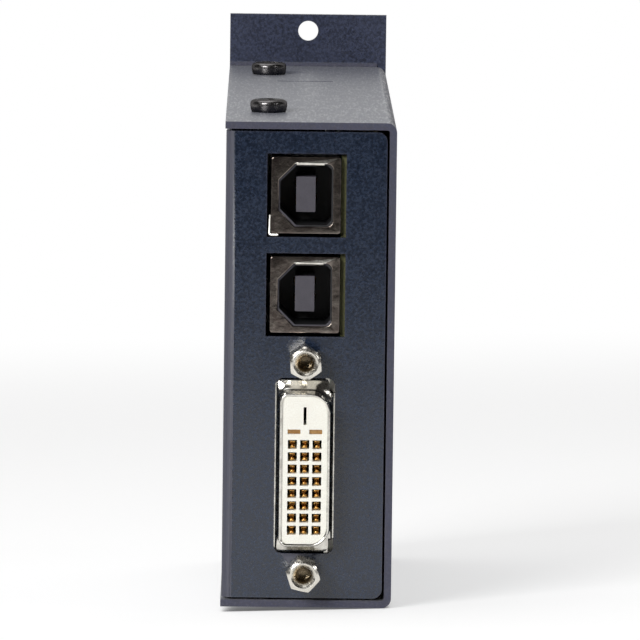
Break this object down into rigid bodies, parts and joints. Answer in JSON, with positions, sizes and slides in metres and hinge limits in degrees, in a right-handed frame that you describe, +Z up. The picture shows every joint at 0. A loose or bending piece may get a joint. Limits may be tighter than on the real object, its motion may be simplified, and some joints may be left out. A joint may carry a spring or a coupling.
{
  "type": "kvm over ip gateway",
  "caption": "Slim folded-steel box with two square USB sockets and a DVI socket with hex jack screws on one end, mounting ears, network and power sockets on the other.",
  "frame": {"origin": "midway between the two ear holes, on the ears' outer face, which goes against the rail or wall", "axes": "+Y from the port end to the ears, +Z up along the line of the ear holes with the first USB socket above the video socket, +X from the cover's large face to the chassis's large face"},
  "size_m": [0.0264, 0.1254, 0.093],
  "materials": {
    "case_paint": "dark blue-grey paint, semi-gloss",
    "cover_paint": "dark blue-grey paint, semi-gloss",
    "zinc_steel": "zinc plated",
    "black_screw": "glossy black plating",
    "board_laminate": "solder mask over glass laminate",
    "brass_spacer": "turned",
    "connector_steel": "tin or nickel plated sheet",
    "black_plastic": "moulded",
    "gilt_contact": "gold flash",
    "ivory_plastic": "moulded",
    "nickel_screw": "nickel plated",
    "lens_plastic": "diffused lamp",
    "button_plastic": "moulded",
    "clear_plastic": "clear moulded",
    "chip_plastic": "moulded epoxy",
    "pad_rubber": "soft silicone",
    "black_aluminium": "black anodised",
    "ferrite": "pressed powder",
    "can_aluminium": "drawn can"
  },
  "bodies": {
    "gateway": {"chassis": "case_paint", "cover": "cover_paint", "cover_press_nuts": "zinc_steel", "case_screws_upper": "black_screw", "case_screws_lower": "black_screw", "base_screws": "black_screw", "circuit_board": "board_laminate", "board_spacers": "brass_spacer", "board_screws": "zinc_steel", "usb_shell_upper": "connector_steel", "usb_shell_lower": "connector_steel", "usb_body_upper": "black_plastic", "usb_body_lower": "black_plastic", "usb_contacts_upper": "gilt_contact", "usb_contacts_lower": "gilt_contact", "video_shell": "connector_steel", "video_insulator": "ivory_plastic", "video_signal_contacts": "gilt_contact", "video_ground_contact": "gilt_contact", "jack_screw_upper": "nickel_screw", "jack_screw_lower": "nickel_screw", "network_shield": "connector_steel", "network_body": "black_plastic", "network_contacts": "gilt_contact", "network_lights": "lens_plastic", "power_body": "black_plastic", "power_pin": "nickel_screw", "power_leaf": "nickel_screw", "reset_housing": "black_plastic", "reset_cover": "connector_steel", "reset_dome": "zinc_steel", "light_pipes": "clear_plastic", "indicator_lamps": "lens_plastic", "processor": "chip_plastic", "thermal_pad": "pad_rubber", "heat_sink": "black_aluminium", "memory_chips": "chip_plastic", "video_chip": "chip_plastic", "network_chip": "chip_plastic", "usb_chip": "chip_plastic", "flash_chip": "chip_plastic", "power_chips": "chip_plastic", "power_inductors": "ferrite", "bulk_capacitors": "can_aluminium", "crystals": "connector_steel", "small_resistors": "chip_plastic", "service_header": "black_plastic", "header_pins": "gilt_contact"},
    "reset_button": {"reset_plunger": "button_plastic"}
  },
  "joints": [
    {"name": "reset_press", "type": "slide", "parent": "gateway", "child": "reset_button", "axis": [0, -1, 0], "range_m": [0, 0.0003], "stiffness_N_per_m": 2000, "springref_m": -0.0003}
  ]
}
